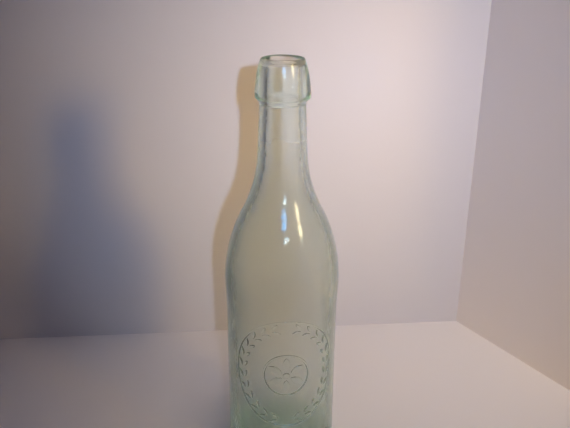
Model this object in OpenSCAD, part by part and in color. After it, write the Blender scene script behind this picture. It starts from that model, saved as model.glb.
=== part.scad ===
// Mouth-blown glass soda bottle with an applied lip and a raised panel on its front.
// Millimetres. +Z is up, the origin is the centre of the base, and -Y is the front.

/* [Body] */
// Height from the standing surface to the top of the rim
bottle_h = 235; // [230:1:245]
// Diameter of the straight part of the barrel
body_d = 63.5; // [62:0.5:64.5]
// Largest diameter, where the shoulder swells
shoulder_d = 65; // [64.8:0.1:66]
// Height of the largest diameter above the base
shoulder_z = 111.5; // [105.5:0.5:116]
// Radius of the round of the shoulder, in profile
shoulder_r = 90; // [87:1:93]
// Radius of the hollow curve from the shoulder into the neck, in profile
neck_r = 74; // [71:1:78]
// Radius of the hollow curve from the barrel into the shoulder, in profile
waist_r = 245; // [200:5:350]
// Slope from the vertical where the shoulder turns into the neck
ogee_angle = 28; // [27.6:0.1:28.4]
// Slope of the neck's sides from the vertical
neck_taper = 2.6; // [2.4:0.1:3]
// Thickness of the walls
wall = 4; // [3.4:0.1:4.4]

/* [Base] */
// Radius of the round at the heel, outside
heel_r = 5; // [3:0.5:7]
// Radius of the round at the heel, inside
inner_heel_r = 8; // [6:0.5:10]
// Height of the push-up under the base
push_up = 8.5; // [5:0.5:11]
// Radius of the push-up where it meets the standing ring
push_up_r = 20; // [17:0.5:22]
// Thickness of the glass at the middle of the base
base_t = 7; // [5:0.5:9]
// Height of the floor inside, next to the heel
floor_z = 6.5; // [5:0.5:7.5]

/* [Lip] */
// Largest diameter of the lip
lip_d = 29.4; // [28.4:0.2:31]
// Depth of the lip's widest line below the rim
lip_wide_depth = 19.5; // [18.5:0.5:20.5]
// Radius of the lip's barrel-shaped side, in profile
barrel_r = 60; // [56:1:66]
// Radius of the round along the rim
rim_r = 1.4; // [1:0.1:1.6]
// Radius of the round at the lip's lower corner
lip_corner_r = 2.6; // [2:0.1:3]
// How far the lower corner turns in before a hollow carries it onto the neck
lip_corner_turn = 50; // [46:1:54]
// Diameter of the bore through the lip and the top of the neck
bore_d = 16.8; // [16.2:0.1:17.2]
// Depth below the rim at which the mouth has closed in to the bore
mouth_depth = 3.5; // [3:0.5:4]
// Depth of the neck's sheared end below the rim, inside the lip
neck_end_depth = 4.5; // [4.2:0.1:5.5]
// Depth below the rim at which the neck starts to draw in to its end
draw_in_depth = 13; // [11:0.5:15]
// Thickness that is left at the neck's end
neck_end_t = 0.8; // [0.6:0.1:1.2]

/* [Panel] */
// Height of the panel's centre above the base
panel_z = 66; // [62:1:68]
// Width of the panel, measured round the barrel
panel_w = 63; // [58:1:68]
// Height of the panel
panel_h = 69; // [62:1:70]
// Width of the line round the panel
line_w = 1.3; // [1:0.1:1.5]
// Height of the line above the glass
line_relief = 0.35; // [0.2:0.05:0.45]
// Height of the leaves and petals above the glass
relief = 0.5; // [0.35:0.05:0.65]
// Distance from the panel's edge to the wreath's stem
stem_inset = 5; // [4.8:0.2:7]
// Pairs of leaves on each side of the wreath
leaf_pairs = 12; // [8:1:12]
// Length of a leaf
leaf_l = 5.2; // [4.6:0.2:5.6]
// Width of a leaf
leaf_w = 2.1; // [1.6:0.1:2.2]
// Diameter of the rosette's circle
rosette_d = 27; // [22:1:30]
// Number of petals in the rosette
petals = 6; // [5:1:8]
// Width of a petal
petal_w = 4.6; // [3:0.2:5]

/* [Hidden] */
$fn = 96;
glass_tint = [0.70, 0.84, 0.79];
lip_tint = [0.62, 0.80, 0.75];
relief_tint = [0.76, 0.88, 0.83];
arc_n = 14;
leaf_n = 10;
oval_n = 90;
body_rad = body_d / 2;
bore_rad = bore_d / 2;

// The flank is a chain of tangent arcs: waist, shoulder and neck hollow.
waist_angle = acos(1 - (shoulder_d - body_d) / 2 / (shoulder_r + waist_r));
waist_z = shoulder_z - (shoulder_r + waist_r) * sin(waist_angle);
waist_c = [body_rad + waist_r, waist_z];
shoulder_c = [shoulder_d / 2 - shoulder_r, shoulder_z];
neck_c = shoulder_c + (shoulder_r + neck_r) * [cos(ogee_angle), sin(ogee_angle)];
hollow_top = neck_c - neck_r * [cos(neck_taper), sin(neck_taper)];
inner_hollow_top = neck_c - (neck_r + wall) * [cos(neck_taper), sin(neck_taper)];
bore_low_z = inner_hollow_top.y + (inner_hollow_top.x - bore_rad) / tan(neck_taper);

// The lip's side runs into the round of the rim without a corner.
lip_wide_z = bottle_h - lip_wide_depth;
neck_end_z = bottle_h - neck_end_depth;
draw_in_z = bottle_h - draw_in_depth;
barrel_c = [lip_d / 2 - barrel_r, lip_wide_z];
rim_angle = asin((bottle_h - rim_r - lip_wide_z) / (barrel_r - rim_r));
rim_c = barrel_c + (barrel_r - rim_r) * [cos(rim_angle), sin(rim_angle)];
lip_corner_c = [lip_d / 2 - lip_corner_r, lip_wide_z];
mouth_z = bottle_h - mouth_depth;

// The hollow under the lip touches both the lower corner and the side of the neck.
corner_way = [cos(lip_corner_turn), -sin(lip_corner_turn)];
corner_end = lip_corner_c + lip_corner_r * corner_way;
corner_gap = (corner_end.x - neck_rad(corner_end.y)) * cos(neck_taper);
under_r = corner_gap / (1 - cos(lip_corner_turn + neck_taper));
under_c = corner_end + under_r * corner_way;

// The wreath opens at the bottom, where the stems start, and at the top.
stem_start = -80;
stem_end = 72;
leaf_splay = 30;
leaf_gap = 0.5;
bead_r = 2;
petal_gap = 0.7;

function arc(c, r, from, to, first = 0) =
    [for (i = [first:arc_n]) let (a = from + (to - from) * i / arc_n) c + r * [cos(a), sin(a)]];
// Smooth turn of the mouth from the rim's inner edge down to the bore
function mouth_line() =
    [for (i = [1:arc_n]) let (k = i / arc_n)
        [bore_rad + (rim_c.x - rim_r - bore_rad) * pow(cos(90 * k), 2), rim_c.y + (mouth_z - rim_c.y) * k]];
function backwards(points) = [for (i = [len(points) - 1:-1:0]) points[i]];
function neck_rad(z) = hollow_top.x - (z - hollow_top.y) * tan(neck_taper);

// Barrel and swell of the shoulder, moved inwards by t
function barrel(t) = concat(
    [[body_rad - t, waist_z]],
    arc(waist_c, waist_r + t, 180, 180 - waist_angle, 1),
    arc(shoulder_c, shoulder_r - t, -waist_angle, 0, 1));
// Round of the shoulder and hollow of the neck, moved inwards by t
function shoulder(t) = concat(
    arc(shoulder_c, shoulder_r - t, 0, ogee_angle, 1),
    arc(neck_c, neck_r + t, 180 + ogee_angle, 180 + neck_taper, 1));
// Bell curve from the axis, z_mid high there, out to radius r at height z_edge
function bell(r, z_mid, z_edge) =
    [for (i = [0:arc_n]) let (k = i / arc_n) [r * k, z_edge + (z_mid - z_edge) * pow(cos(90 * k), 2)]];

function outer_line() = concat(
    bell(push_up_r, push_up, 0),
    arc([body_rad - heel_r, heel_r], heel_r, -90, 0),
    barrel(0),
    shoulder(0),
    [[neck_rad(draw_in_z), draw_in_z], [bore_rad + neck_end_t, neck_end_z]]);
function inner_line() = concat(
    bell(body_rad - wall - inner_heel_r, push_up + base_t, floor_z),
    arc([body_rad - wall - inner_heel_r, floor_z + inner_heel_r], inner_heel_r, -90, 0, 1),
    barrel(wall),
    shoulder(wall),
    [[bore_rad, bore_low_z], [bore_rad, neck_end_z]]);

// A point of the flat panel, seen from the front once the panel is wrapped round the barrel
function wrap(p) = [body_rad * sin(p.x / body_rad * 180 / PI), p.y];
function turn(p, a) = [p.x * cos(a) - p.y * sin(a), p.x * sin(a) + p.y * cos(a)];
function oval(w, h, a) = [w / 2 * cos(a), h / 2 * sin(a)];
function oval_line(w, h) = [for (i = [0:oval_n - 1]) wrap(oval(w, h, 360 * i / oval_n))];
// A pointed leaf along +X from its root at the origin
function leaf(l, w) = concat(
    [for (i = [0:leaf_n]) let (k = 2 * i / leaf_n - 1) [l * (k + 1) / 2, w / 2 * (1 - k * k)]],
    [for (i = [leaf_n - 1:-1:1]) let (k = 2 * i / leaf_n - 1) [l * (k + 1) / 2, -w / 2 * (1 - k * k)]]);

// A flat outline of the panel raised by h on the front of the barrel
module emboss(h) {
    intersection() {
        rotate_extrude()
            polygon(concat(
                [[body_rad, heel_r]], barrel(0), backwards(barrel(-h)), [[body_rad + h, heel_r]]));
        translate([0, 0, panel_z])
            rotate([90, 0, 0])
                linear_extrude(body_d)
                    children();
    }
}

module oval_ring(w, h) {
    difference() {
        polygon(oval_line(w, h));
        polygon(oval_line(w - 2 * line_w, h - 2 * line_w));
    }
}

module bottle_body() {
    color(glass_tint)
        rotate_extrude()
            polygon(concat(outer_line(), backwards(inner_line())));
}

module applied_lip() {
    color(lip_tint)
        rotate_extrude()
            polygon(concat(
                arc(under_c, under_r, 180 + neck_taper, 180 - lip_corner_turn),
                arc(lip_corner_c, lip_corner_r, -lip_corner_turn, 0, 1),
                arc(barrel_c, barrel_r, 0, rim_angle, 1),
                arc(rim_c, rim_r, rim_angle, 180, 1),
                mouth_line(),
                [[bore_rad, neck_end_z]],
                [[bore_rad + neck_end_t, neck_end_z], [neck_rad(draw_in_z), draw_in_z]]));
}

module panel_line() {
    color(relief_tint)
        emboss(line_relief)
            oval_ring(panel_w, panel_h);
}

module panel_wreath() {
    stem_w = panel_w - 2 * stem_inset;
    stem_h = panel_h - 2 * stem_inset;
    color(relief_tint)
        emboss(relief)
            for (side = [-1, 1], i = [0:leaf_pairs - 1], out = [-1, 1]) {
                a = stem_start + (stem_end - stem_start) * i / (leaf_pairs - 1);
                root = oval(stem_w, stem_h, a) + out * leaf_gap * [cos(a), sin(a)];
                points = [for (p = leaf(leaf_l, leaf_w)) root + turn(p, a + 90 - out * leaf_splay)];
                polygon([for (p = points) wrap([side * p.x, p.y])]);
            }
}

module panel_rosette() {
    petal_root = bead_r + petal_gap;
    petal_l = rosette_d / 2 - line_w - petal_gap - petal_root;
    color(relief_tint)
        emboss(relief) {
            oval_ring(rosette_d, rosette_d);
            polygon(oval_line(2 * bead_r, 2 * bead_r));
            for (i = [0:petals - 1]) {
                a = 90 + 360 * i / petals;
                polygon([for (p = leaf(petal_l, petal_w)) wrap(turn(p + [petal_root, 0], a))]);
            }
        }
}

bottle_body();
applied_lip();
panel_line();
panel_wreath();
panel_rosette();
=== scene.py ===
"""Models a mouth-blown glass bottle with an applied lip and a raised panel, on a plain stage."""

import math

import bmesh
import bpy
from bpy.props import FloatProperty, FloatVectorProperty, IntProperty, PointerProperty
from mathutils import Matrix, Vector


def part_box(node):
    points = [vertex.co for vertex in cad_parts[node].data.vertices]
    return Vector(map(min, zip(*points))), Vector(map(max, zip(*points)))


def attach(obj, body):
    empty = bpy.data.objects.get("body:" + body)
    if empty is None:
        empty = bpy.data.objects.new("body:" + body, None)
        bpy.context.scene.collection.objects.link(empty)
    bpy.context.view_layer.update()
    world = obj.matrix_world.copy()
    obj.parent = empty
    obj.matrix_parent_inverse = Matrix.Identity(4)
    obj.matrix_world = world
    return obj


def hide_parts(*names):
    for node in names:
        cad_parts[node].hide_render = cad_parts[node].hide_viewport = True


bl_info = {
    "name": "Blown Glass Bottle",
    "version": (1, 0, 0),
    "blender": (4, 5, 0),
    "location": "3D View > Sidebar > Bottle",
    "description": "Models a mouth-blown glass bottle with an applied lip and a raised panel",
    "category": "Add Mesh",
}

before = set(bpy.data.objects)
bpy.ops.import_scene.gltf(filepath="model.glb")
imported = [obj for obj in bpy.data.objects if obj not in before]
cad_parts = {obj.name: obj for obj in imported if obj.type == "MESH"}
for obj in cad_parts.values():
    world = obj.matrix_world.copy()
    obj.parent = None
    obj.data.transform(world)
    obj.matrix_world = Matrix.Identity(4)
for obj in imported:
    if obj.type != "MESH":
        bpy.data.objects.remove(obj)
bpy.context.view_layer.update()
BODY_LOW, BODY_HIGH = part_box("bottle_body")
LIP_LOW, LIP_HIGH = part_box("applied_lip")
LINE_LOW, LINE_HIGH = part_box("panel_line")

MM = 0.001
SPIN_STEPS = 192
LONGEST_STEP = 2 * MM
ARC_STEPS = 28
OVAL_STEPS = 120
MERGE_GAP = 0.002 * MM
SMOOTH_ANGLE = math.radians(50)
UPRIGHT = (math.pi / 2, 0, 0)
FLOOR_W = 4
WALL_REACH = 1.2
WALL_H = 2
INSIDE = "inside"
CROWN = "crown"
FUSED = "fused"


def length(name, description, default):
    """A property for a size in metres"""
    return FloatProperty(name=name, description=description, default=default, unit="LENGTH", precision=5)


def angle(name, description, degrees):
    """A property for an angle, given in degrees"""
    return FloatProperty(name=name, description=description, default=math.radians(degrees), subtype="ANGLE")


def colour(name, description, default):
    """A property for a colour"""
    return FloatVectorProperty(name=name, description=description, default=default, subtype="COLOR", min=0)


def amount(name, description, default):
    """A property for a plain number"""
    return FloatProperty(name=name, description=description, default=default, precision=4)


class BodySizes(bpy.types.PropertyGroup):
    """Sizes of the blown body"""

    body_d: length("Barrel diameter", "Diameter of the straight part of the barrel", 63.5 * MM)
    shoulder_d: length(
        "Shoulder diameter", "Largest diameter, where the shoulder swells", BODY_HIGH.x - BODY_LOW.x)
    shoulder_z: length("Shoulder height", "Height of the largest diameter above the base", 111.5 * MM)
    shoulder_r: length("Shoulder round", "Radius of the round of the shoulder, in profile", 90 * MM)
    neck_r: length("Neck hollow", "Radius of the curve from shoulder to neck, in profile", 74 * MM)
    waist_r: length("Waist hollow", "Radius of the curve from barrel to shoulder, in profile", 245 * MM)
    ogee_angle: angle("Ogee slope", "Slope where the shoulder turns into the neck", 28)
    neck_taper: angle("Neck taper", "Slope of the neck's sides", 2.6)
    draw_in_z: length(
        "Draw-in", "Height at which the neck starts to draw in to its end", LIP_HIGH.z - 13 * MM)
    neck_end_z: length("Neck end", "Height of the neck's sheared end, inside the lip", BODY_HIGH.z)
    neck_end_t: length("Neck end thickness", "Thickness that is left at the neck's end", 0.8 * MM)
    wall: length("Wall", "Thickness of the walls", 4 * MM)
    heel_r: length("Heel", "Radius of the round at the heel, outside", 5 * MM)
    inner_heel_r: length("Inner heel", "Radius of the round at the heel, inside", 8 * MM)
    push_up: length("Push-up", "Height of the push-up under the base", 8.5 * MM)
    push_up_r: length("Push-up radius", "Radius of the push-up at the standing ring", 20 * MM)
    base_t: length("Base", "Thickness of the glass at the middle of the base", 7 * MM)
    floor_z: length("Inner floor", "Height of the floor inside, next to the heel", 6.5 * MM)
    bore_d: length("Bore", "Diameter of the bore through the lip and the top of the neck", 16.8 * MM)
    skin_drift: length("Skin drift", "Depth of the slow waves in the outer skin", 0.3 * MM)
    wall_drift: length("Wall drift", "Height of the slow waves in the inner wall", 1.0 * MM)
    wall_ripple: length("Wall ripple", "Height of the short waves in the inner wall", 0.1 * MM)
    seam_w: length("Seam width", "Width of the mould's seam on each side", 0.7 * MM)
    seam_h: length("Seam height", "Height of the mould's seam", 0.12 * MM)


class LipSizes(bpy.types.PropertyGroup):
    """Sizes of the applied lip"""

    top_z: length("Top", "Height of the top of the rim", LIP_HIGH.z)
    lip_d: length("Lip diameter", "Largest diameter of the lip", LIP_HIGH.x - LIP_LOW.x)
    wide_depth: length("Widest line", "Depth of the widest line below the rim", 19.5 * MM)
    barrel_r: length("Lip barrel", "Radius of the barrel-shaped side, in profile", 60 * MM)
    rim_r: length("Rim", "Radius of the round along the rim", 1.4 * MM)
    corner_r: length("Lower corner", "Radius of the round at the lower corner", 2.6 * MM)
    corner_turn: angle("Lower corner turn", "How far the lower corner turns in towards the neck", 50)
    mouth_depth: length("Mouth depth", "Depth at which the mouth has closed in to the bore", 3.5 * MM)
    seat: length("Seat", "How far the lip sinks into the neck's glass, where the two are fused", 0.05 * MM)
    skin_drift: length("Skin drift", "Depth of the slow waves that tooling leaves in the lip", 0.15 * MM)


class PanelSizes(bpy.types.PropertyGroup):
    """Sizes of the raised panel, measured round the barrel"""

    panel_z: length(
        "Panel height", "Height of the panel's centre above the base", (LINE_LOW.z + LINE_HIGH.z) / 2)
    panel_w: length("Panel width", "Width of the panel, measured round the barrel", 63 * MM)
    panel_h: length("Panel length", "Height of the panel itself", LINE_HIGH.z - LINE_LOW.z)
    line_w: length("Line width", "Width of the line round the panel", 1.3 * MM)
    line_relief: length("Line relief", "Height of the line's crown above the glass", 0.35 * MM)
    relief: length("Relief", "Height of the leaves' and petals' crowns above the glass", 0.5 * MM)
    root: length("Root", "How far the relief sinks into the body's glass, where the two are one", 0.1 * MM)
    edge_w: length("Edge width", "Width of the soft slope along each edge of the relief", 0.45 * MM)
    edge_dip: length("Edge dip", "How far the relief's edge lies below the glass, out of sight", 0.02 * MM)
    stem_inset: length("Stem inset", "Distance from the panel's edge to the wreath's stem", 5 * MM)
    stem_start: angle("Stem start", "Angle on the oval where each row of leaves starts", -80)
    stem_end: angle("Stem end", "Angle on the oval where each row of leaves ends", 72)
    leaf_pairs: IntProperty(name="Leaf pairs", description="Pairs of leaves on each side", default=12, min=2)
    leaf_l: length("Leaf length", "Length of a leaf", 5.2 * MM)
    leaf_w: length("Leaf width", "Width of a leaf", 2.1 * MM)
    leaf_splay: angle("Leaf splay", "Angle between a leaf and the stem", 30)
    leaf_gap: length("Leaf gap", "Distance from the stem to a leaf's root", 0.5 * MM)
    rosette_d: length("Rosette", "Diameter of the rosette's circle", 27 * MM)
    petals: IntProperty(name="Petals", description="Number of petals in the rosette", default=6, min=3)
    petal_w: length("Petal width", "Width of a petal", 4.6 * MM)
    petal_gap: length("Petal gap", "Distance from a petal to the bead and to the circle", 0.7 * MM)
    bead_r: length("Bead", "Radius of the bead in the rosette's middle", 2 * MM)


class GlassLook(bpy.types.PropertyGroup):
    """Colour and finish of the glass"""

    tint: colour("Tint", "Colour that is left after light has gone far through the glass", (0.0, 0.86, 0.36))
    body_density: amount("Body density", "How fast the body's glass takes on its tint, per metre", 12)
    lip_density: amount("Lip density", "How fast the lip's glass takes on its tint, per metre", 7)
    skin: colour("Skin", "Colour of the clean skin", (0.995, 1, 0.995))
    bloom: colour("Bloom", "Colour where the skin has dulled with age", (0.985, 0.99, 0.98))
    stain: colour("Stain", "Colour of the dried film on the inside", (0.99, 0.99, 0.98))
    stain_haze: amount("Stain haze", "Roughness of the dried film on the inside", 0.32)
    ior: amount("Refraction", "Index of refraction of soda-lime glass", 1.52)


class StageLook(bpy.types.PropertyGroup):
    """Camera, floor, backdrop and lights"""

    camera_reach: length(
        "Camera distance", "Level distance from the bottle's axis to the camera", 349.4 * MM)
    camera_z: length("Camera height", "Height of the camera above the floor", 286.2 * MM)
    camera_turn: angle("Camera turn", "How far the camera stands to the left of the panel's middle", 4.85)
    camera_pitch: angle("Camera pitch", "How far the camera looks down", 21.3)
    camera_pan: angle("Camera pan", "How far the camera looks past the axis, to the right", 0.25)
    camera_roll: angle("Camera roll", "How far the camera is tilted about its own axis", 0.35)
    camera_lens: amount("Lens", "Focal length in millimetres on a sensor 36 mm wide", 42.95)
    wall_y: length("Backdrop distance", "Distance from the bottle's axis to the backdrop", 130 * MM)
    fold_x: length("Fold", "Distance from the bottle's axis to the backdrop's fold on the right", 156 * MM)
    fold_turn: angle("Fold turn", "How far the backdrop turns forwards at its fold", 64)
    wing_w: length("Wing", "Width of the backdrop on the near side of its fold", 130 * MM)
    wing_glow: colour("Wing glow", "Light that the wing sends out, as if a room lit it", (0.13, 0.08, 0.03))
    near_floor: length(
        "Near floor", "Reach of the floor before it starts to fade into the surround", 300 * MM)
    near_gap: length("Near wing", "Distance from the fold to the sheet that only the glass shows", 60 * MM)
    near_w: length("Near wing width", "Width of the sheet that only the glass shows", 440 * MM)
    # Painted light: the near sheet glows, and only the glass shows it, in its reflections and in what it
    # bends
    near_painted_glow: colour(
        "Near glow", "Light that the sheet sends out that only the glass shows", (0.40, 0.29, 0.14))
    # Painted light: the strip at that sheet's foot glows, brightest at the floor, and only the glass shows
    # it
    low_h: length(
        "Low strip", "Height at which the bright strip at the foot of that sheet has faded out", 140 * MM)
    low_painted_glow: colour("Low glow", "Light that this strip sends out", (1.0, 0.78, 0.50))
    wall_pale: colour("Backdrop colour", "Colour of the backdrop", (0.80, 0.78, 0.77))
    floor_pale: colour("Floor colour", "Colour of the floor", (0.90, 0.88, 0.87))
    surround: colour("Surround", "Pale surround that the camera and the glass see", (0.45, 0.43, 0.43))
    fill: colour("Fill", "Soft light from all round", (0.002, 0.010, 0.055))
    flash_power: amount("Flash power", "Power of the small cool light behind the camera, in watts", 0.155)
    spark_power: amount("Spark power", "Power of the flash's gleam on the glass, in watts", 0.5)
    catch_power: amount("Catch light power", "Power of the small blue light by the camera, in watts", 0.22)
    lamp_power: amount("Lamp power", "Power of the warm lamp on the right, in watts", 0.168)
    glint_power: amount("Glint power", "Power of the warm lamp's gleam on the glass, in watts", 1.25)
    top_power: amount("Top light power", "Power of the wide soft light above, in watts", 0.43)


def deselect():
    """Leaves nothing selected, because the solids of the frame come in selected"""
    bpy.ops.object.select_all(action="DESELECT")


def pick(piece, test):
    """In edit mode, selects the vertices that pass the test and nothing else"""
    mesh = bmesh.from_edit_mesh(piece.data)
    for vertex in mesh.verts:
        vertex.select = test(vertex)
    mesh.select_flush_mode()
    bmesh.update_edit_mesh(piece.data)


def finish_mesh():
    """Closes the mesh in edit mode, turns its faces outwards and goes back to object mode"""
    bpy.ops.mesh.select_all(action="SELECT")
    bpy.ops.mesh.remove_doubles(threshold=MERGE_GAP)
    bpy.ops.mesh.normals_make_consistent(inside=False)
    bpy.ops.object.mode_set(mode="OBJECT")


def use_modifier(piece, kind, **settings):
    """Adds a modifier to the active piece, sets it and applies it"""
    bpy.context.view_layer.objects.active = piece
    bpy.ops.object.modifier_add(type=kind)
    modifier = piece.modifiers[-1]
    for name, value in settings.items():
        setattr(modifier, name, value)
    bpy.ops.object.modifier_apply(modifier=modifier.name)


def arc(centre, radius, start, end):
    """Points of an arc in the profile, which is drawn as radius and height"""
    step = (end - start) / ARC_STEPS
    turns = [start + step * i for i in range(ARC_STEPS + 1)]
    return [centre + radius * Vector((math.cos(turn), math.sin(turn))) for turn in turns]


def fall(share):
    """A smooth fall from 1 to 0, as the share goes from 0 to 1"""
    return math.cos(math.pi / 2 * share) ** 2


def bell(radius, mid_z, edge_z):
    """Points of a bell curve from the axis out to a radius"""
    shares = [i / ARC_STEPS for i in range(ARC_STEPS + 1)]
    return [Vector((radius * share, edge_z + (mid_z - edge_z) * fall(share))) for share in shares]


def even_out(points):
    """The same line with points added where it has a long step"""
    line = [points[0]]
    for point in points[1:]:
        before = line[-1]
        steps = math.ceil((point - before).length / LONGEST_STEP)
        line += [before.lerp(point, i / steps) for i in range(1, steps + 1)]
    return line


class Flank:
    """The bottle's side line, a chain of tangent arcs, as radius and height"""

    def __init__(self, body):
        self.body = body
        self.body_rad = body.body_d / 2
        reach = body.shoulder_r + body.waist_r
        self.waist_angle = math.acos(1 - (body.shoulder_d / 2 - self.body_rad) / reach)
        waist_z = body.shoulder_z - reach * math.sin(self.waist_angle)
        self.waist_c = Vector((self.body_rad + body.waist_r, waist_z))
        self.shoulder_c = Vector((body.shoulder_d / 2 - body.shoulder_r, body.shoulder_z))
        ogee = Vector((math.cos(body.ogee_angle), math.sin(body.ogee_angle)))
        self.neck_c = self.shoulder_c + (body.shoulder_r + body.neck_r) * ogee

    def side(self, inset):
        """Barrel, shoulder and neck hollow, moved inwards"""
        body = self.body
        half = math.pi
        waist = arc(self.waist_c, body.waist_r + inset, half, half - self.waist_angle)
        shoulder = arc(self.shoulder_c, body.shoulder_r - inset, -self.waist_angle, body.ogee_angle)
        hollow = arc(self.neck_c, body.neck_r + inset, half + body.ogee_angle, half + body.neck_taper)
        return waist + shoulder[1:] + hollow[1:]

    def neck_radius(self, z):
        """Radius of the neck's outer side at a height"""
        top = self.side(0)[-1]
        return top.x - (z - top.y) * math.tan(self.body.neck_taper)

    def outer(self):
        """Outer line from the middle of the push-up to the neck's end"""
        body = self.body
        heel_c = Vector((self.body_rad - body.heel_r, body.heel_r))
        heel = arc(heel_c, body.heel_r, -math.pi / 2, 0)
        lip_foot, draw_in = [Vector((self.neck_radius(z), z)) for z in (LIP_LOW.z, body.draw_in_z)]
        neck_end = Vector((body.bore_d / 2 + body.neck_end_t, body.neck_end_z))
        return bell(body.push_up_r, body.push_up, 0) + heel + self.side(0) + [lip_foot, draw_in, neck_end]

    def inner(self):
        """Inner line from the middle of the floor to the neck's end"""
        body = self.body
        floor_r = self.body_rad - body.wall - body.inner_heel_r
        heel_c = Vector((floor_r, body.floor_z + body.inner_heel_r))
        heel = arc(heel_c, body.inner_heel_r, -math.pi / 2, 0)
        side = self.side(body.wall)
        bore_rad = body.bore_d / 2
        bore_z = side[-1].y + (side[-1].x - bore_rad) / math.tan(body.neck_taper)
        bore = [Vector((bore_rad, bore_z)), Vector((bore_rad, body.neck_end_z))]
        return bell(floor_r, body.push_up + body.base_t, body.floor_z) + heel[1:] + side + bore


def lip_outline(lip, flank):
    """Closed outline of the lip, from its lower edge up and down again through the bore"""
    body = flank.body
    wide_z = lip.top_z - lip.wide_depth
    corner_c = Vector((lip.lip_d / 2 - lip.corner_r, wide_z))
    barrel_c = Vector((lip.lip_d / 2 - lip.barrel_r, wide_z))
    rim_reach = lip.barrel_r - lip.rim_r
    rim_angle = math.asin((lip.top_z - lip.rim_r - wide_z) / rim_reach)
    rim_c = barrel_c + rim_reach * Vector((math.cos(rim_angle), math.sin(rim_angle)))
    corner_way = Vector((math.cos(lip.corner_turn), -math.sin(lip.corner_turn)))
    corner_end = corner_c + lip.corner_r * corner_way
    corner_gap = (corner_end.x - flank.neck_radius(corner_end.y)) * math.cos(body.neck_taper)
    under_r = corner_gap / (1 - math.cos(lip.corner_turn + body.neck_taper))
    under_c = corner_end + under_r * corner_way
    under = arc(under_c, under_r, math.pi + body.neck_taper, math.pi - lip.corner_turn)
    corner = arc(corner_c, lip.corner_r, -lip.corner_turn, 0)
    barrel = arc(barrel_c, lip.barrel_r, 0, rim_angle)
    rim = arc(rim_c, lip.rim_r, rim_angle, math.pi)
    bore_rad = body.bore_d / 2
    mouth_z = lip.top_z - lip.mouth_depth
    mouth_w, mouth_h = rim[-1] - Vector((bore_rad, mouth_z))
    shares = [i / ARC_STEPS for i in range(1, ARC_STEPS + 1)]
    mouth = [Vector((bore_rad + mouth_w * fall(share), rim[-1].y - mouth_h * share)) for share in shares]
    sunk = Vector((lip.seat, lip.seat))
    neck_end = Vector((bore_rad + body.neck_end_t, body.neck_end_z)) - sunk
    draw_in = Vector((flank.neck_radius(body.draw_in_z) - lip.seat, body.draw_in_z))
    socket = [Vector((bore_rad, neck_end.y)), neck_end, draw_in, under[0] - Vector((lip.seat, 0))]
    return under + corner[1:] + barrel[1:] + rim[1:] + mouth + socket + [under[0]]


def spin_outline(name, outline):
    """A piece turned round the bottle's axis from an outline of radius and height"""
    points = [Vector((point.x, 0, point.y)) for point in even_out(outline)]
    deselect()
    bpy.ops.mesh.primitive_plane_add(size=MM)
    piece = bpy.context.object
    piece.name = piece.data.name = name
    bpy.ops.object.mode_set(mode="EDIT")
    bpy.ops.mesh.merge(type="CENTER")
    bpy.ops.transform.translate(value=points[0])
    for before, after in zip(points, points[1:]):
        bpy.ops.mesh.extrude_region_move(TRANSFORM_OT_translate={"value": after - before})
    bpy.ops.mesh.select_all(action="SELECT")
    bpy.ops.mesh.spin(steps=SPIN_STEPS, angle=math.tau, center=(0, 0, 0), axis=(0, 0, 1))
    finish_mesh()
    return piece


def ramp(value, low, high):
    """0 below low, 1 above high and a smooth rise between"""
    share = min(max((value - low) / (high - low), 0), 1)
    return share * share * (3 - 2 * share)


def facing(place, normal):
    """How far a normal points away from the bottle's axis, from -1 to 1"""
    radial = Vector((place.x, place.y, 0))
    return normal.dot(radial.normalized()) if radial.length else 0


def outward(vertex):
    """How far a vertex's normal points away from the bottle's axis, from -1 to 1"""
    return facing(vertex.co, vertex.normal)


def mark_fused(piece, share):
    """Marks the share of each face that bends no light, as where lip and neck are one glass or as painted
    light
    """
    fused = piece.data.attributes.new(FUSED, "FLOAT", "FACE")
    for face in piece.data.polygons:
        fused.data[face.index].value = share(face)


def mark_inside(piece, film):
    """Marks how thick the dried film on the inside is, as a function of the vertex"""
    inside = piece.data.attributes.new(INSIDE, "FLOAT", "POINT")
    for vertex in piece.data.vertices:
        inside.data[vertex.index].value = film(vertex)


def weigh(piece, name, weight):
    """A vertex group whose weight is a function of the vertex"""
    group = piece.vertex_groups.new(name=name)
    for vertex in piece.data.vertices:
        group.add([vertex.index], weight(vertex), "REPLACE")
    return group.name


def waves(name, wave_length, basis):
    """A cloudy texture that pushes a surface in and out"""
    texture = bpy.data.textures.new(name, "CLOUDS")
    texture.noise_scale = wave_length
    texture.noise_basis = basis
    texture.noise_depth = 1
    return texture


def hand_over(piece, material, slot, *nodes):
    """Gives a finished piece its glass, hangs it under the root and hides the solids it stands for"""
    piece.data.materials.clear()
    piece.data.materials.append(material)
    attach(piece, "root")
    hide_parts(*nodes)


def add_node(tree, kind, **settings):
    """A new shader node with its settings"""
    node = tree.nodes.new(kind)
    for name, value in settings.items():
        setattr(node, name, value)
    return node


def calculate(tree, operation, first, second):
    """A Math node on two sockets or numbers, and its result"""
    node = add_node(tree, "ShaderNodeMath", operation=operation)
    for socket, value in zip(node.inputs, (first, second)):
        if isinstance(value, (int, float)):
            socket.default_value = value
        else:
            tree.links.new(value, socket)
    return node.outputs[0]


def noise(tree, position, scale, detail):
    """A noise over the surface, and its value"""
    node = add_node(tree, "ShaderNodeTexNoise")
    node.inputs["Scale"].default_value = scale
    node.inputs["Detail"].default_value = detail
    tree.links.new(position, node.inputs["Vector"])
    return node.outputs["Fac"]


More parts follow.
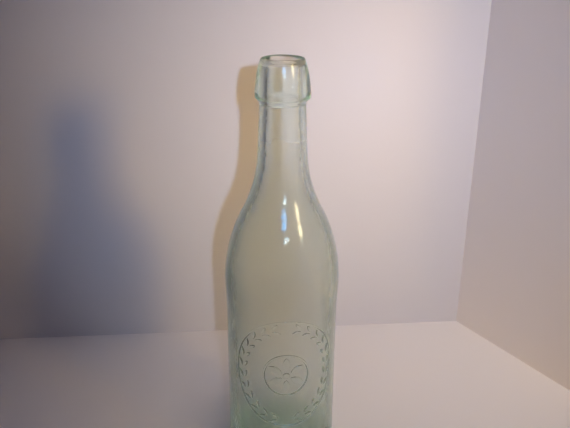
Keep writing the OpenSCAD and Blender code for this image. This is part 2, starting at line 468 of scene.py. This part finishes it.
def between(tree, value, low, high):
    """A smooth rise from 0 at low to 1 at high"""
    node = add_node(tree, "ShaderNodeMapRange", interpolation_type="SMOOTHSTEP")
    node.inputs["From Min"].default_value = low
    node.inputs["From Max"].default_value = high
    tree.links.new(value, node.inputs["Value"])
    return node.outputs["Result"]


def patches(tree, position, scale, detail, low, high):
    """Soft patches over the surface, from 0 where a noise is low to 1 where it is high"""
    return between(tree, noise(tree, position, scale, detail), low, high)


def aged_glass_group():
    """A shader group for old glass: fine waves, scuffs and dull patches outside, a dried film inside"""
    drawn_out = (1, 1, 0.35)
    dull_rough = 0.05
    least_film = 0.6
    tree = bpy.data.node_groups.new("aged_glass", "ShaderNodeTree")
    sockets = tree.interface
    sockets.new_socket("Position", in_out="INPUT", socket_type="NodeSocketVector")
    for name in ("Inside", "Ripple", "Peel", "Dull", "Scuff", "Haze"):
        sockets.new_socket(name, in_out="INPUT", socket_type="NodeSocketFloat")
    for name in ("Skin", "Bloom", "Stain"):
        sockets.new_socket(name, in_out="INPUT", socket_type="NodeSocketColor")
    for name in ("Height", "Roughness"):
        sockets.new_socket(name, in_out="OUTPUT", socket_type="NodeSocketFloat")
    sockets.new_socket("Colour", in_out="OUTPUT", socket_type="NodeSocketColor")
    source = add_node(tree, "NodeGroupInput").outputs
    result = add_node(tree, "NodeGroupOutput").inputs
    position = source["Position"]

    drawn = add_node(tree, "ShaderNodeMapping")
    drawn.inputs["Scale"].default_value = drawn_out
    tree.links.new(position, drawn.inputs["Vector"])
    ripple = noise(tree, drawn.outputs["Vector"], scale=160, detail=1)
    peel = noise(tree, position, scale=750, detail=1)
    height = calculate(
        tree, "ADD",
        calculate(tree, "MULTIPLY", ripple, source["Ripple"]),
        calculate(tree, "MULTIPLY", peel, source["Peel"]))
    tree.links.new(height, result["Height"])

    cells = add_node(tree, "ShaderNodeTexVoronoi")
    cells.inputs["Scale"].default_value = 380
    tree.links.new(position, cells.inputs["Vector"])
    speck = calculate(tree, "SUBTRACT", 1, between(tree, cells.outputs["Distance"], low=0.10, high=0.22))
    rubbed = patches(tree, position, scale=70, detail=2, low=0.60, high=0.72)
    scuff = calculate(tree, "MULTIPLY", calculate(tree, "MULTIPLY", speck, rubbed), source["Scuff"])
    dull = patches(tree, position, scale=28, detail=3, low=0.45, high=0.75)
    worn = calculate(tree, "ADD", calculate(tree, "MULTIPLY", dull, dull_rough), scuff)
    cloud = patches(tree, position, scale=24, detail=4, low=0.25, high=0.70)
    cover = calculate(tree, "ADD", calculate(tree, "MULTIPLY", cloud, 1 - least_film), least_film)
    film = calculate(tree, "MULTIPLY", cover, source["Inside"])
    clouded = calculate(tree, "MULTIPLY", film, source["Haze"])
    smooth = calculate(tree, "ADD", worn, source["Dull"])
    tree.links.new(calculate(tree, "ADD", smooth, clouded), result["Roughness"])

    aged = add_node(tree, "ShaderNodeMix", data_type="RGBA")
    tree.links.new(dull, aged.inputs["Factor"])
    tree.links.new(source["Skin"], aged.inputs["A"])
    tree.links.new(source["Bloom"], aged.inputs["B"])
    stained = add_node(tree, "ShaderNodeMix", data_type="RGBA")
    tree.links.new(film, stained.inputs["Factor"])
    tree.links.new(aged.outputs["Result"], stained.inputs["A"])
    tree.links.new(source["Stain"], stained.inputs["B"])
    tree.links.new(stained.outputs["Result"], result["Colour"])
    return tree


def glass_material(name, look, density, **finish):
    """Aqua glass that tints light by the way it goes through the wall"""
    material = bpy.data.materials.new(name)
    material.use_nodes = True
    tree = material.node_tree
    shader = tree.nodes["Principled BSDF"]
    shader.inputs["Transmission Weight"].default_value = 1
    shader.inputs["IOR"].default_value = look.ior
    group = bpy.data.node_groups.get("aged_glass") or aged_glass_group()
    aged = add_node(tree, "ShaderNodeGroup", node_tree=group)
    aged.inputs["Haze"].default_value = look.stain_haze
    for trait, value in finish.items():
        aged.inputs[trait.title()].default_value = value
    for socket, shade in (("Skin", look.skin), ("Bloom", look.bloom), ("Stain", look.stain)):
        aged.inputs[socket].default_value = (*shade, 1)
    place = add_node(tree, "ShaderNodeTexCoord")
    tree.links.new(place.outputs["Object"], aged.inputs["Position"])
    inside = add_node(tree, "ShaderNodeAttribute", attribute_name=INSIDE)
    tree.links.new(inside.outputs["Fac"], aged.inputs["Inside"])
    bump = add_node(tree, "ShaderNodeBump")
    bump.inputs["Strength"].default_value = 1
    bump.inputs["Distance"].default_value = MM
    tree.links.new(aged.outputs["Height"], bump.inputs["Height"])
    tree.links.new(bump.outputs["Normal"], shader.inputs["Normal"])
    tree.links.new(aged.outputs["Roughness"], shader.inputs["Roughness"])
    tree.links.new(aged.outputs["Colour"], shader.inputs["Base Color"])
    # Faces that bend no light: fused glass, and half of the mouth's faces as painted light on their shade
    fused = add_node(tree, "ShaderNodeAttribute", attribute_name=FUSED)
    tree.links.new(calculate(tree, "SUBTRACT", 1, fused.outputs["Fac"]), shader.inputs["Alpha"])
    tinted = add_node(tree, "ShaderNodeVolumeAbsorption")
    tinted.inputs["Color"].default_value = (*look.tint, 1)
    tinted.inputs["Density"].default_value = density
    tree.links.new(tinted.outputs["Volume"], tree.nodes["Material Output"].inputs["Volume"])
    return material


class BOTTLE_OT_blow_body(bpy.types.Operator):
    """Models the blown body: base, barrel, shoulder and neck in one piece of glass"""

    bl_idname = "bottle.blow_body"
    bl_label = "Blow body"

    def execute(self, context):
        body = context.scene.bottle_body
        look = context.scene.bottle_glass
        flank = Flank(body)
        piece = spin_outline("glass_body", flank.outer() + flank.inner()[::-1])
        self.wave_walls(piece, body)
        self.raise_seams(piece, body)
        mark_inside(piece, self.film)
        mark_fused(piece, self.fused)
        bpy.ops.object.shade_smooth_by_angle(angle=SMOOTH_ANGLE)
        material = glass_material(
            "blown_glass", look, look.body_density, ripple=0.02, peel=0.05, dull=0.08, scuff=0.35)
        hand_over(piece, material, "body_glass", "bottle_body")
        return {"FINISHED"}

    def wave_walls(self, piece, body):
        """Lets the skin and the inner wall drift, but not the base, the bore and the seat of the lip"""
        calm_low, calm_high = 6 * MM, 206 * MM
        ease = 14 * MM

        def lively(vertex):
            z = vertex.co.z
            return ramp(z, calm_low, calm_low + ease) * ramp(z, calm_high, calm_high - ease)

        skin = weigh(piece, "skin", lambda v: lively(v) if outward(v) > 0 else 0)
        hollow = weigh(piece, "hollow", lambda v: lively(v) if outward(v) < 0 else 0)
        slow = waves("skin_waves", wave_length=30 * MM, basis="ORIGINAL_PERLIN")
        thick = waves("wall_waves", wave_length=34 * MM, basis="BLENDER_ORIGINAL")
        short = waves("wall_ripples", wave_length=9 * MM, basis="IMPROVED_PERLIN")
        for group, texture, strength, level in (
                (skin, slow, body.skin_drift, 1),
                (hollow, thick, body.wall_drift, 0.5),
                (hollow, short, body.wall_ripple, 0.5)):
            use_modifier(
                piece, "DISPLACE", texture=texture, texture_coords="LOCAL", vertex_group=group,
                strength=strength, mid_level=level)
        piece.vertex_groups.clear()

    def raise_seams(self, piece, body):
        """Raises the fine line that the two halves of the mould leave on each side"""
        low_z, high_z = 7 * MM, 204 * MM
        line_gap = 5 * MERGE_GAP

        def on_seam(vertex):
            side_line = abs(vertex.co.y) < line_gap and outward(vertex) > 0
            return side_line and low_z < vertex.co.z < high_z

        bpy.ops.object.mode_set(mode="EDIT")
        pick(piece, on_seam)
        bpy.ops.mesh.bevel(offset=body.seam_w / 2, segments=2, affect="EDGES")
        pick(piece, on_seam)
        bpy.ops.transform.shrink_fatten(value=body.seam_h)
        bpy.ops.object.mode_set(mode="OBJECT")

    def film(self, vertex):
        """A dried film on the walls and the floor that the drink touched, which is thinner in the neck"""
        floor_top = 25 * MM
        neck_low, neck_high = 165 * MM, 205 * MM
        least_turn = 0.2
        thinning = 0.45
        floor = vertex.co.z < floor_top and vertex.normal.z > least_turn
        wet = floor or outward(vertex) < -least_turn
        return wet * (1 - thinning * ramp(vertex.co.z, neck_low, neck_high))

    def fused(self, face):
        """Whether a face is one of the neck's that the lip covers, and not one in the bore"""
        into_bore = -0.5
        return face.center.z > LIP_LOW.z and facing(face.center, face.normal) > into_bore


class BOTTLE_OT_apply_lip(bpy.types.Operator):
    """Models the applied lip, a ring of glass that is laid round the neck's end and tooled"""

    bl_idname = "bottle.apply_lip"
    bl_label = "Apply lip"

    def execute(self, context):
        lip = context.scene.bottle_lip
        body = context.scene.bottle_body
        look = context.scene.bottle_glass
        piece = spin_outline("glass_lip", lip_outline(lip, Flank(body)))
        self.wave_skin(piece, lip)
        mark_fused(piece, lambda face: self.fused(face, body.neck_end_z))
        mark_inside(piece, lambda vertex: self.film(vertex, body.neck_end_z))
        bpy.ops.object.shade_smooth_by_angle(angle=SMOOTH_ANGLE)
        material = glass_material(
            "tooled_glass", look, look.lip_density, ripple=0.02, peel=0.02, dull=0.11, scuff=0.2)
        hand_over(piece, material, "lip_glass", "applied_lip")
        return {"FINISHED"}

    def wave_skin(self, piece, lip):
        """Lets the lip's skin drift, but not where the lip runs onto the neck"""
        low_z = min(vertex.co.z for vertex in piece.data.vertices)
        ease = 3 * MM
        skin = weigh(piece, "skin", lambda v: ramp(v.co.z, low_z, low_z + ease) if outward(v) > 0 else 0)
        slow = waves("lip_waves", wave_length=16 * MM, basis="ORIGINAL_PERLIN")
        use_modifier(
            piece, "DISPLACE", texture=slow, texture_coords="LOCAL", vertex_group=skin,
            strength=lip.skin_drift, mid_level=1)
        piece.vertex_groups.clear()

    def film(self, vertex, seat_z):
        """A thin dried film in the mouth, above the neck's end"""
        into_bore = -0.1
        mouth_film = 0.7
        return mouth_film * (vertex.co.z > seat_z and outward(vertex) < into_bore)

    def fused(self, face, seat_z):
        """Share of a face that bends no light: all of it on the neck, half in the mouth as painted light on
        its shade
        """
        off_neck, into_bore = 0.3, -0.1
        # Painted light: half of each mouth face lets light through unbent, which lightens the dark shade in
        # the mouth
        mouth_lightening = 0.5
        turn = facing(face.center, face.normal)
        if face.center.z < seat_z:
            return turn < off_neck
        return mouth_lightening * (turn < into_bore)


def oval_point(width, height, turn):
    """A point of an oval in the flat panel"""
    return Vector((width / 2 * math.cos(turn), 0, height / 2 * math.sin(turn)))


def swell(share, soft):
    """Height of a flat crown with soft edges, where the share goes from -1 over 0 to 1 across its width"""
    return ramp(1 - abs(share), 0, min(soft, 1))


def oval_band(name, width, height, panel):
    """A flat oval band that stands upright and faces the front, with a crown along its middle"""
    rings = 8
    line_w = panel.line_w
    soft = 2 * panel.edge_w / line_w
    deselect()
    bpy.ops.mesh.primitive_circle_add(vertices=OVAL_STEPS, radius=0.5, rotation=UPRIGHT)
    piece = bpy.context.object
    piece.name = piece.data.name = name
    bpy.ops.object.transform_apply()
    piece.vertex_groups.new(name=CROWN)
    bpy.ops.object.mode_set(mode="EDIT")
    bpy.ops.mesh.select_all(action="SELECT")
    bpy.ops.transform.resize(value=(width, 1, height))
    step = 2 * line_w / rings
    for ring in range(1, rings + 1):
        before = step * (ring - 1)
        shrink = [(side - before - step) / (side - before) for side in (width, height)]
        bpy.ops.mesh.extrude_edges_move()
        bpy.ops.transform.resize(value=(shrink[0], 1, shrink[1]))
        bpy.context.scene.tool_settings.vertex_group_weight = swell(2 * ring / rings - 1, soft)
        bpy.ops.object.vertex_group_assign()
    bpy.ops.object.mode_set(mode="OBJECT")
    return piece


def leaf_sheet(name, leaf_l, leaf_w, edge_w):
    """A flat pointed leaf that stands upright, along +X from its root at the origin, with a crown"""
    soft = 2 * edge_w / leaf_w
    decimals = 4
    same_line = 0.01
    deselect()
    bpy.ops.mesh.primitive_grid_add(x_subdivisions=16, y_subdivisions=12, size=1, rotation=UPRIGHT)
    piece = bpy.context.object
    piece.name = piece.data.name = name
    bpy.ops.object.transform_apply()
    rows = sorted({round(vertex.co.z, decimals) for vertex in piece.data.vertices})
    columns = sorted({round(vertex.co.x, decimals) for vertex in piece.data.vertices})
    bpy.ops.object.mode_set(mode="EDIT")
    for z in rows:
        pick(piece, lambda vertex: abs(vertex.co.z - z) < same_line)
        bpy.ops.transform.translate(value=(0, 0, math.sin(math.pi * z) / 2 - z))
    bpy.ops.object.mode_set(mode="OBJECT")
    weigh(piece, CROWN, lambda v: swell(2 * v.co.z, soft) * (1 - (2 * v.co.x) ** 4))
    bpy.ops.object.mode_set(mode="EDIT")
    for x in columns:
        pick(piece, lambda vertex: abs(vertex.co.x - x) < same_line)
        bpy.ops.transform.resize(value=(1, 1, 1 - (2 * x) ** 2), center_override=(x, 0, 0))
    bpy.ops.mesh.select_all(action="SELECT")
    bpy.ops.transform.translate(value=(0.5, 0, 0))
    bpy.ops.transform.resize(value=(leaf_l, 1, leaf_w), center_override=(0, 0, 0))
    bpy.ops.mesh.remove_doubles(threshold=MERGE_GAP)
    bpy.ops.object.mode_set(mode="OBJECT")
    return piece


def lay_copies(pattern, places):
    """Lays a copy of the pattern at each place, given as a point and a turn in the flat panel"""
    copies = []
    for point, turn in places:
        copy = pattern.copy()
        copy.data = pattern.data.copy()
        bpy.context.scene.collection.objects.link(copy)
        copy.matrix_world = Matrix.Translation(point) @ Matrix.Rotation(-turn, 4, "Y")
        copies.append(copy)
    bpy.data.objects.remove(pattern)
    return copies


def join_pieces(name, parts):
    """Joins the flat parts of a design to one piece at the origin"""
    deselect()
    for part in parts:
        part.select_set(True)
    bpy.context.view_layer.objects.active = parts[0]
    bpy.ops.object.transform_apply()
    bpy.ops.object.join()
    piece = bpy.context.object
    piece.name = piece.data.name = name
    return piece


def emboss(piece, relief, panel, body):
    """Wraps a flat design round the barrel, lays it on the glass and raises it with soft edges"""
    barrel_rad = body.body_d / 2
    xs = [vertex.co.x for vertex in piece.data.vertices]
    bend = (max(xs) - min(xs)) / barrel_rad
    use_modifier(piece, "SIMPLE_DEFORM", deform_method="BEND", deform_axis="Z", angle=bend)
    bpy.ops.object.mode_set(mode="EDIT")
    bpy.ops.mesh.select_all(action="SELECT")
    bpy.ops.transform.translate(value=(0, -barrel_rad, panel.panel_z))
    bpy.ops.object.mode_set(mode="OBJECT")
    use_modifier(
        piece, "SHRINKWRAP", target=bpy.data.objects["glass_body"], wrap_method="NEAREST_SURFACEPOINT",
        wrap_mode="ABOVE_SURFACE", offset=-panel.root)
    full = panel.root + relief
    use_modifier(
        piece, "SOLIDIFY", thickness=full, offset=1, vertex_group=CROWN,
        thickness_vertex_group=(panel.root - panel.edge_dip) / full)
    piece.vertex_groups.clear()
    bpy.ops.object.shade_smooth_by_angle(angle=SMOOTH_ANGLE)


def raised_glass(look):
    """The glass of the raised panel, with edges that the mould left soft"""
    return bpy.data.materials.get("relief_glass") or glass_material(
        "relief_glass", look, look.body_density, ripple=0.01, peel=0.004, dull=0.10, scuff=0.3)


class BOTTLE_OT_raise_line(bpy.types.Operator):
    """Models the raised line round the panel"""

    bl_idname = "bottle.raise_line"
    bl_label = "Raise line"

    def execute(self, context):
        panel = context.scene.bottle_panel
        piece = oval_band("raised_line", panel.panel_w, panel.panel_h, panel)
        emboss(piece, panel.line_relief, panel, context.scene.bottle_body)
        hand_over(piece, raised_glass(context.scene.bottle_glass), "raised_glass", "panel_line")
        return {"FINISHED"}


class BOTTLE_OT_raise_wreath(bpy.types.Operator):
    """Models the raised wreath, two rows of paired leaves that rise from the bottom"""

    bl_idname = "bottle.raise_wreath"
    bl_label = "Raise wreath"

    def execute(self, context):
        panel = context.scene.bottle_panel
        leaf = leaf_sheet("raised_wreath", panel.leaf_l, panel.leaf_w, panel.edge_w)
        piece = join_pieces("raised_wreath", lay_copies(leaf, self.leaf_places(panel)))
        emboss(piece, panel.relief, panel, context.scene.bottle_body)
        hand_over(piece, raised_glass(context.scene.bottle_glass), "raised_glass", "panel_wreath")
        return {"FINISHED"}

    def leaf_places(self, panel):
        """Root and direction of each leaf, right and left, inside and outside of the stem"""
        stem_w = panel.panel_w - 2 * panel.stem_inset
        stem_h = panel.panel_h - 2 * panel.stem_inset
        spread = (panel.stem_end - panel.stem_start) / (panel.leaf_pairs - 1)
        places = []
        for i in range(panel.leaf_pairs):
            turn = panel.stem_start + spread * i
            away = Vector((math.cos(turn), 0, math.sin(turn)))
            for out in (-1, 1):
                root = oval_point(stem_w, stem_h, turn) + out * panel.leaf_gap * away
                aim = turn + math.pi / 2 - out * panel.leaf_splay
                places.append((root, aim))
                places.append((Vector((-root.x, 0, root.z)), math.pi - aim))
        return places


class BOTTLE_OT_raise_rosette(bpy.types.Operator):
    """Models the raised rosette: a circle, its petals and a bead in the middle"""

    bl_idname = "bottle.raise_rosette"
    bl_label = "Raise rosette"

    def execute(self, context):
        panel = context.scene.bottle_panel
        circle = oval_band("rosette_circle", panel.rosette_d, panel.rosette_d, panel)
        petal_root = panel.bead_r + panel.petal_gap
        petal_l = panel.rosette_d / 2 - panel.line_w - panel.petal_gap - petal_root
        petal = leaf_sheet("rosette_petal", petal_l, panel.petal_w, panel.edge_w)
        turns = [math.pi / 2 + math.tau * i / panel.petals for i in range(panel.petals)]
        rays = [(oval_point(2 * petal_root, 2 * petal_root, turn), turn) for turn in turns]
        piece = join_pieces("raised_rosette", [circle, self.bead(panel), *lay_copies(petal, rays)])
        emboss(piece, panel.relief, panel, context.scene.bottle_body)
        hand_over(piece, raised_glass(context.scene.bottle_glass), "raised_glass", "panel_rosette")
        return {"FINISHED"}

    def bead(self, panel):
        """A flat round sheet for the bead, in rings that rise to its middle"""
        rings = 10
        radius = panel.bead_r
        deselect()
        bpy.ops.mesh.primitive_circle_add(vertices=32, radius=radius, fill_type="NGON", rotation=UPRIGHT)
        piece = bpy.context.object
        bpy.ops.object.transform_apply()
        bpy.ops.object.mode_set(mode="EDIT")
        bpy.ops.mesh.select_all(action="SELECT")
        for _ in range(rings - 1):
            bpy.ops.mesh.inset(thickness=radius / rings)
        bpy.ops.mesh.poke()
        bpy.ops.object.mode_set(mode="OBJECT")
        weigh(piece, CROWN, lambda v: swell(v.co.length / radius, panel.edge_w / radius))
        return piece


def pale_material(name, shade, one_sided, glow=(0, 0, 0)):
    """Matt pale paint for the stage, which can glow or be left out when it is seen from behind"""
    material = bpy.data.materials.new(name)
    material.use_nodes = True
    tree = material.node_tree
    paint = tree.nodes["Principled BSDF"]
    paint.inputs["Base Color"].default_value = (*shade, 1)
    paint.inputs["Roughness"].default_value = 0.9
    paint.inputs["Specular IOR Level"].default_value = 0
    paint.inputs["Emission Color"].default_value = (*glow, 1)
    paint.inputs["Emission Strength"].default_value = 1
    if one_sided:
        clear = add_node(tree, "ShaderNodeBsdfTransparent")
        face = add_node(tree, "ShaderNodeNewGeometry")
        mix = add_node(tree, "ShaderNodeMixShader")
        tree.links.new(face.outputs["Backfacing"], mix.inputs["Fac"])
        tree.links.new(paint.outputs["BSDF"], mix.inputs[1])
        tree.links.new(clear.outputs["BSDF"], mix.inputs[2])
        tree.links.new(mix.outputs["Shader"], tree.nodes["Material Output"].inputs["Surface"])
    return material


def fade_in(material, measure, output, clear, full):
    """Lets a paint show by a measure of the place on its sheet, from clear to full"""
    tree = material.node_tree
    place = add_node(tree, "ShaderNodeTexCoord")
    tree.links.new(place.outputs["Object"], measure.inputs[0])
    shown = between(tree, measure.outputs[output], clear, full)
    tree.links.new(shown, tree.nodes["Principled BSDF"].inputs["Alpha"])


class BOTTLE_OT_set_stage(bpy.types.Operator):
    """Sets up the camera, the pale floor and backdrop, and the lights"""

    bl_idname = "bottle.set_stage"
    bl_label = "Set stage"

    def execute(self, context):
        stage = context.scene.bottle_stage
        self.place_camera(context, stage)
        self.lay_floor(stage)
        self.lay_far_floor(stage)
        self.hang_backdrop(stage)
        self.fill_light(context, stage)
        self.place_lamps(stage)
        self.set_render(context)
        return {"FINISHED"}

    def place_camera(self, context, stage):
        """The camera stands as it did for the photograph"""
        turn = -stage.camera_turn
        place = Vector((math.sin(turn), -math.cos(turn), 0)) * stage.camera_reach
        place.z = stage.camera_z
        aim = (Matrix.Rotation(turn - stage.camera_pan, 3, "Z")
               @ Matrix.Rotation(math.pi / 2 - stage.camera_pitch, 3, "X")
               @ Matrix.Rotation(stage.camera_roll, 3, "Z"))
        deselect()
        bpy.ops.object.camera_add(location=place, rotation=aim.to_euler())
        camera = bpy.context.object
        camera.data.lens = stage.camera_lens
        camera.data.clip_start = 10 * MM
        context.scene.camera = camera

    def lay_floor(self, stage):
        """A wide pale floor"""
        deselect()
        bpy.ops.mesh.primitive_plane_add(size=FLOOR_W)
        floor = bpy.context.object
        floor.name = "floor"
        floor.data.materials.append(pale_material("pale_floor", stage.floor_pale, one_sided=False))

    def lay_far_floor(self, stage):
        """A veil over the floor's far part, which lights nothing and is as pale as the surround"""
        black = (0, 0, 0)
        above_floor = (0, 0, 0.2 * MM)
        deselect()
        bpy.ops.mesh.primitive_plane_add(size=FLOOR_W, location=above_floor)
        veil = bpy.context.object
        veil.name = "far_floor"
        material = pale_material("pale_far_floor", black, one_sided=False, glow=stage.surround)
        reach = add_node(material.node_tree, "ShaderNodeVectorMath", operation="LENGTH")
        fade_in(material, reach, "Value", clear=stage.near_floor, full=2 * stage.near_floor)
        veil.data.materials.append(material)
        veil.visible_diffuse = False
        veil.visible_shadow = False

    def hang_backdrop(self, stage):
        """A pale wall close behind the bottle, with a wing that comes forwards on the right"""
        far_end = Vector((-WALL_REACH, stage.wall_y, 0))
        fold = Vector((stage.fold_x, stage.wall_y, 0))
        forwards = Vector((math.cos(stage.fold_turn), -math.sin(stage.fold_turn), 0))
        wing_end = fold + forwards * stage.wing_w
        wall = pale_material("pale_wall", stage.wall_pale, one_sided=True)
        wing = pale_material("pale_wing", stage.wall_pale, one_sided=True, glow=stage.wing_glow)
        self.hang_sheet("backdrop", far_end, fold, wall)
        self.hang_sheet("backdrop_wing", fold, wing_end, wing)
        self.hang_painted_glow_sheets(stage, fold, forwards)

    def hang_painted_glow_sheets(self, stage, fold, forwards):
        """Painted light only the glass shows: a glowing sheet before the wing, a bright strip at its foot"""
        step = Vector((-1, -1, 0)) * MM
        start = fold + forwards * stage.near_gap + step
        end = start + forwards * stage.near_w
        near = pale_material("painted_glow_near_wing", stage.wall_pale, one_sided=True, glow=stage.near_painted_glow)
        low = pale_material("painted_glow_low_strip", stage.wall_pale, one_sided=True, glow=stage.low_painted_glow)
        height = add_node(low.node_tree, "ShaderNodeSeparateXYZ")
        fade_in(low, height, "Z", clear=stage.low_h, full=0)
        in_glass = (
            self.hang_sheet("near_sheet_painted_glow", start, end, near),
            self.hang_sheet("low_strip_painted_glow", start + step, end + step, low, stage.low_h))
        # Neither sheet is seen by the camera or lights anything: their glow is painted light in the glass
        for sheet in in_glass:
            sheet.visible_camera = False
            sheet.visible_diffuse = False

    def hang_sheet(self, name, left, right, paint, height=WALL_H):
        """An upright sheet that shows only from the front and casts no shadow"""
        run = right - left
        middle = (left + right) / 2 + Vector((0, 0, height / 2))
        deselect()
        bpy.ops.mesh.primitive_plane_add(
            size=1, location=middle, rotation=(math.pi / 2, 0, math.atan2(run.y, run.x)))
        sheet = bpy.context.object
        sheet.name = name
        sheet.scale = (run.length, height, 1)
        bpy.ops.object.transform_apply()
        sheet.data.materials.append(paint)
        sheet.visible_shadow = False
        return sheet

    def fill_light(self, context, stage):
        """A world that is pale where it is seen, also in the glass, and faintly blue where it lights"""
        world = bpy.data.worlds.new("surround")
        context.scene.world = world
        world.use_nodes = True
        tree = world.node_tree
        seen = add_node(tree, "ShaderNodeLightPath").outputs
        direct = calculate(tree, "MAXIMUM", seen["Is Camera Ray"], seen["Is Glossy Ray"])
        any_sight = calculate(tree, "MAXIMUM", direct, seen["Is Transmission Ray"])
        mix = add_node(tree, "ShaderNodeMix", data_type="RGBA")
        tree.links.new(any_sight, mix.inputs["Factor"])
        mix.inputs["A"].default_value = (*stage.fill, 1)
        mix.inputs["B"].default_value = (*stage.surround, 1)
        tree.links.new(mix.outputs["Result"], tree.nodes["Background"].inputs["Color"])

    def place_lamps(self, stage):
        """Small cool lights by the camera, a warm lamp on the right and a soft light above"""
        cool, blue, soft = (0.51, 0.64, 1.0), (0.10, 0.48, 1.0), (1.0, 0.83, 0.69)
        warm, pale, white = (1.0, 0.66, 0.27), (1.0, 0.86, 0.50), (0.62, 0.87, 1.0)
        bright_spot = (0.07, stage.wall_y, 0.20)
        neck = (0, 0, 0.16)
        front_floor = (0.25, -0.10, 0)
        glints = (
            self.lamp(
                "flash_glint", stage.spark_power, white, place=(0.05, -0.75, 0.40), target=neck,
                width=0.12, height=0.06),
            self.lamp(
                "catch_light", stage.catch_power, blue, place=(0.003, -0.36, 0.355), target=neck,
                width=0.10, height=0.055),
            self.lamp(
                "lamp_glint", stage.glint_power, pale, place=(0.52, -0.57, 0.475), target=neck,
                width=0.16, height=0.18))
        for glint in glints:
            glint.visible_diffuse = False
        beams = (
            self.lamp(
                "flash", stage.flash_power, cool, place=(0.031, -0.75, 0.387), target=bright_spot,
                width=0.02, height=0.02, spread=36),
            self.lamp(
                "warm_lamp", stage.lamp_power, warm, place=(0.63, -0.52, 0.44), target=bright_spot,
                width=0.24, height=0.30, spread=26))
        for beam in beams:
            beam.visible_glossy = False
        self.lamp(
            "top_light", stage.top_power, soft, place=(0.25, -0.25, 1.0), target=front_floor,
            width=0.5, height=0.5, spread=50)

    def lamp(self, name, power, shade, place, target, width, height, spread=180):
        """An area light that looks at a target, with a beam that fades out to its spread in degrees"""
        aim = (Vector(target) - Vector(place)).to_track_quat("-Z", "Y").to_euler()
        deselect()
        bpy.ops.object.light_add(type="AREA", location=place, rotation=aim)
        light = bpy.context.object
        light.name = name
        light.data.shape = "ELLIPSE"
        light.data.size = width
        light.data.size_y = height
        light.data.spread = math.radians(spread)
        light.data.energy = power
        light.data.color = shade
        light.visible_camera = False
        light.visible_transmission = False
        return light

    def set_render(self, context):
        """Plain colours, and enough bounces for light to cross all the walls of the glass"""
        context.scene.view_settings.view_transform = "Standard"
        cycles = context.scene.cycles
        cycles.max_bounces = 24
        cycles.transmission_bounces = 24
        cycles.glossy_bounces = 12
        cycles.transparent_max_bounces = 24


class BOTTLE_PT_panel(bpy.types.Panel):
    """Lists the steps and sizes of the bottle"""

    bl_idname = "BOTTLE_PT_panel"
    bl_label = "Blown Glass Bottle"
    bl_space_type = "VIEW_3D"
    bl_region_type = "UI"
    bl_category = "Bottle"

    def draw(self, context):
        for step in STEPS:
            self.layout.operator(step.bl_idname)
        for name, group in GROUPS.items():
            box = self.layout.box()
            for setting in group.__annotations__:
                box.prop(getattr(context.scene, name), setting)


STEPS = (
    BOTTLE_OT_blow_body,
    BOTTLE_OT_apply_lip,
    BOTTLE_OT_raise_line,
    BOTTLE_OT_raise_wreath,
    BOTTLE_OT_raise_rosette,
    BOTTLE_OT_set_stage,
)
GROUPS = {
    "bottle_body": BodySizes,
    "bottle_lip": LipSizes,
    "bottle_panel": PanelSizes,
    "bottle_glass": GlassLook,
    "bottle_stage": StageLook,
}


def register():
    """Registers the add-on's classes and its settings on the scene"""
    for part in (*GROUPS.values(), *STEPS, BOTTLE_PT_panel):
        bpy.utils.register_class(part)
    for name, group in GROUPS.items():
        setattr(bpy.types.Scene, name, PointerProperty(type=group))


def unregister():
    """Takes the settings and the classes away again"""
    for name in GROUPS:
        delattr(bpy.types.Scene, name)
    for part in (BOTTLE_PT_panel, *STEPS, *GROUPS.values()):
        bpy.utils.unregister_class(part)


def main():
    """Makes the bottle piece by piece"""
    register()
    bpy.ops.bottle.blow_body()
    bpy.ops.bottle.apply_lip()
    bpy.ops.bottle.raise_line()
    bpy.ops.bottle.raise_wreath()
    bpy.ops.bottle.raise_rosette()
    bpy.ops.bottle.set_stage()


if __name__ == "__main__":
    main()
